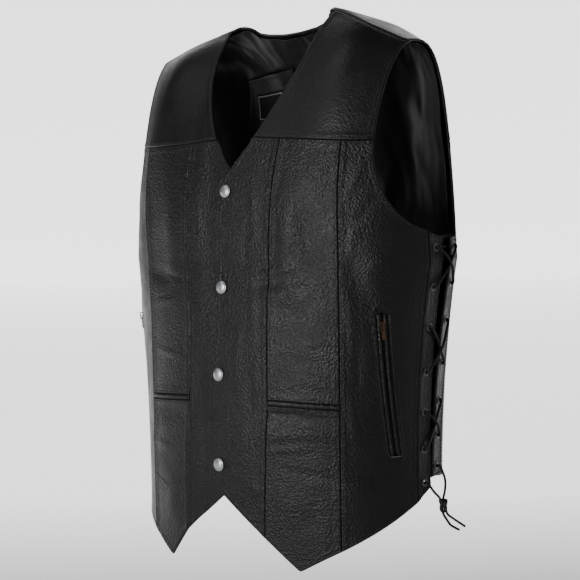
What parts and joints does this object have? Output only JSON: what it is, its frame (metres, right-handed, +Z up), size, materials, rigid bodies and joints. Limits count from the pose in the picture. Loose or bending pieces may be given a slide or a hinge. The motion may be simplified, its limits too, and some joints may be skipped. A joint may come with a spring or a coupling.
{
  "type": "leather vest",
  "caption": "Black leather vest with a V neck, pointed front hem, snap front, slanted zip pockets and laced sides, in its worn hollow form",
  "frame": {"origin": "between the neck ends of the shoulders, where the wearer carries the vest", "axes": "+Z up, front faces -Y, +X to the wearer's left"},
  "size_m": [0.4482, 0.2598, 0.6404],
  "materials": {
    "leather": "black cowhide, fine grain, semi-matte with soft sheen",
    "smooth_leather": "black cowhide, smoother and more matte",
    "satin_lining": "glossy black satin with gathers",
    "woven_label": "black woven label with a thin white border",
    "lace_leather": "black leather lace",
    "snap_metal": "domed nickel snap cap, satin",
    "zip_metal": "dark bronze",
    "zip_tape": "black woven zip tape"
  },
  "bodies": {
    "root": {"front_yoke_left": "smooth_leather", "placket_left": "leather", "front_upper_left": "leather", "pocket_welt_left": "leather", "front_lower_left": "leather", "side_front_left": "leather", "zip_welt_left": "leather", "zip_tape_left": "zip_tape", "zip_slider_left": "zip_metal", "lace_front_left": "leather", "lace_back_left": "leather", "gusset_left": "leather", "lace_left": "lace_leather", "lace_end_front_left": "lace_leather", "lace_end_back_left": "lace_leather", "lace_knot_left": "lace_leather", "lace_tail_a_left": "lace_leather", "lace_tail_b_left": "lace_leather", "front_yoke_right": "smooth_leather", "placket_right": "leather", "front_upper_right": "leather", "pocket_welt_right": "leather", "front_lower_right": "leather", "side_front_right": "leather", "zip_welt_right": "leather", "zip_tape_right": "zip_tape", "zip_slider_right": "zip_metal", "lace_front_right": "leather", "lace_back_right": "leather", "gusset_right": "leather", "lace_right": "lace_leather", "lace_end_front_right": "lace_leather", "lace_end_back_right": "lace_leather", "lace_knot_right": "lace_leather", "lace_tail_a_right": "lace_leather", "lace_tail_b_right": "lace_leather", "back_panel": "leather", "back_yoke": "smooth_leather", "lining_back": "satin_lining", "label_patch": "leather", "label_woven": "woven_label", "snap_cap_1": "snap_metal", "snap_cap_2": "snap_metal", "snap_cap_3": "snap_metal", "snap_cap_4": "snap_metal"},
    "tab_left": {"pull_tab_left": "zip_metal"},
    "tab_right": {"pull_tab_right": "zip_metal"}
  },
  "joints": [
    {"name": "tab_left_swing", "type": "hinge", "parent": "root", "child": "tab_left", "pos_m": [0.187, -0.06414, -0.35304], "axis": [-0.6344, -0.7669, -0.0967], "range_deg": [0, 150]},
    {"name": "tab_right_swing", "type": "hinge", "parent": "root", "child": "tab_right", "pos_m": [-0.18717, -0.06428, -0.35305], "axis": [-0.6344, 0.7669, 0.0967], "range_deg": [0, 150]}
  ]
}
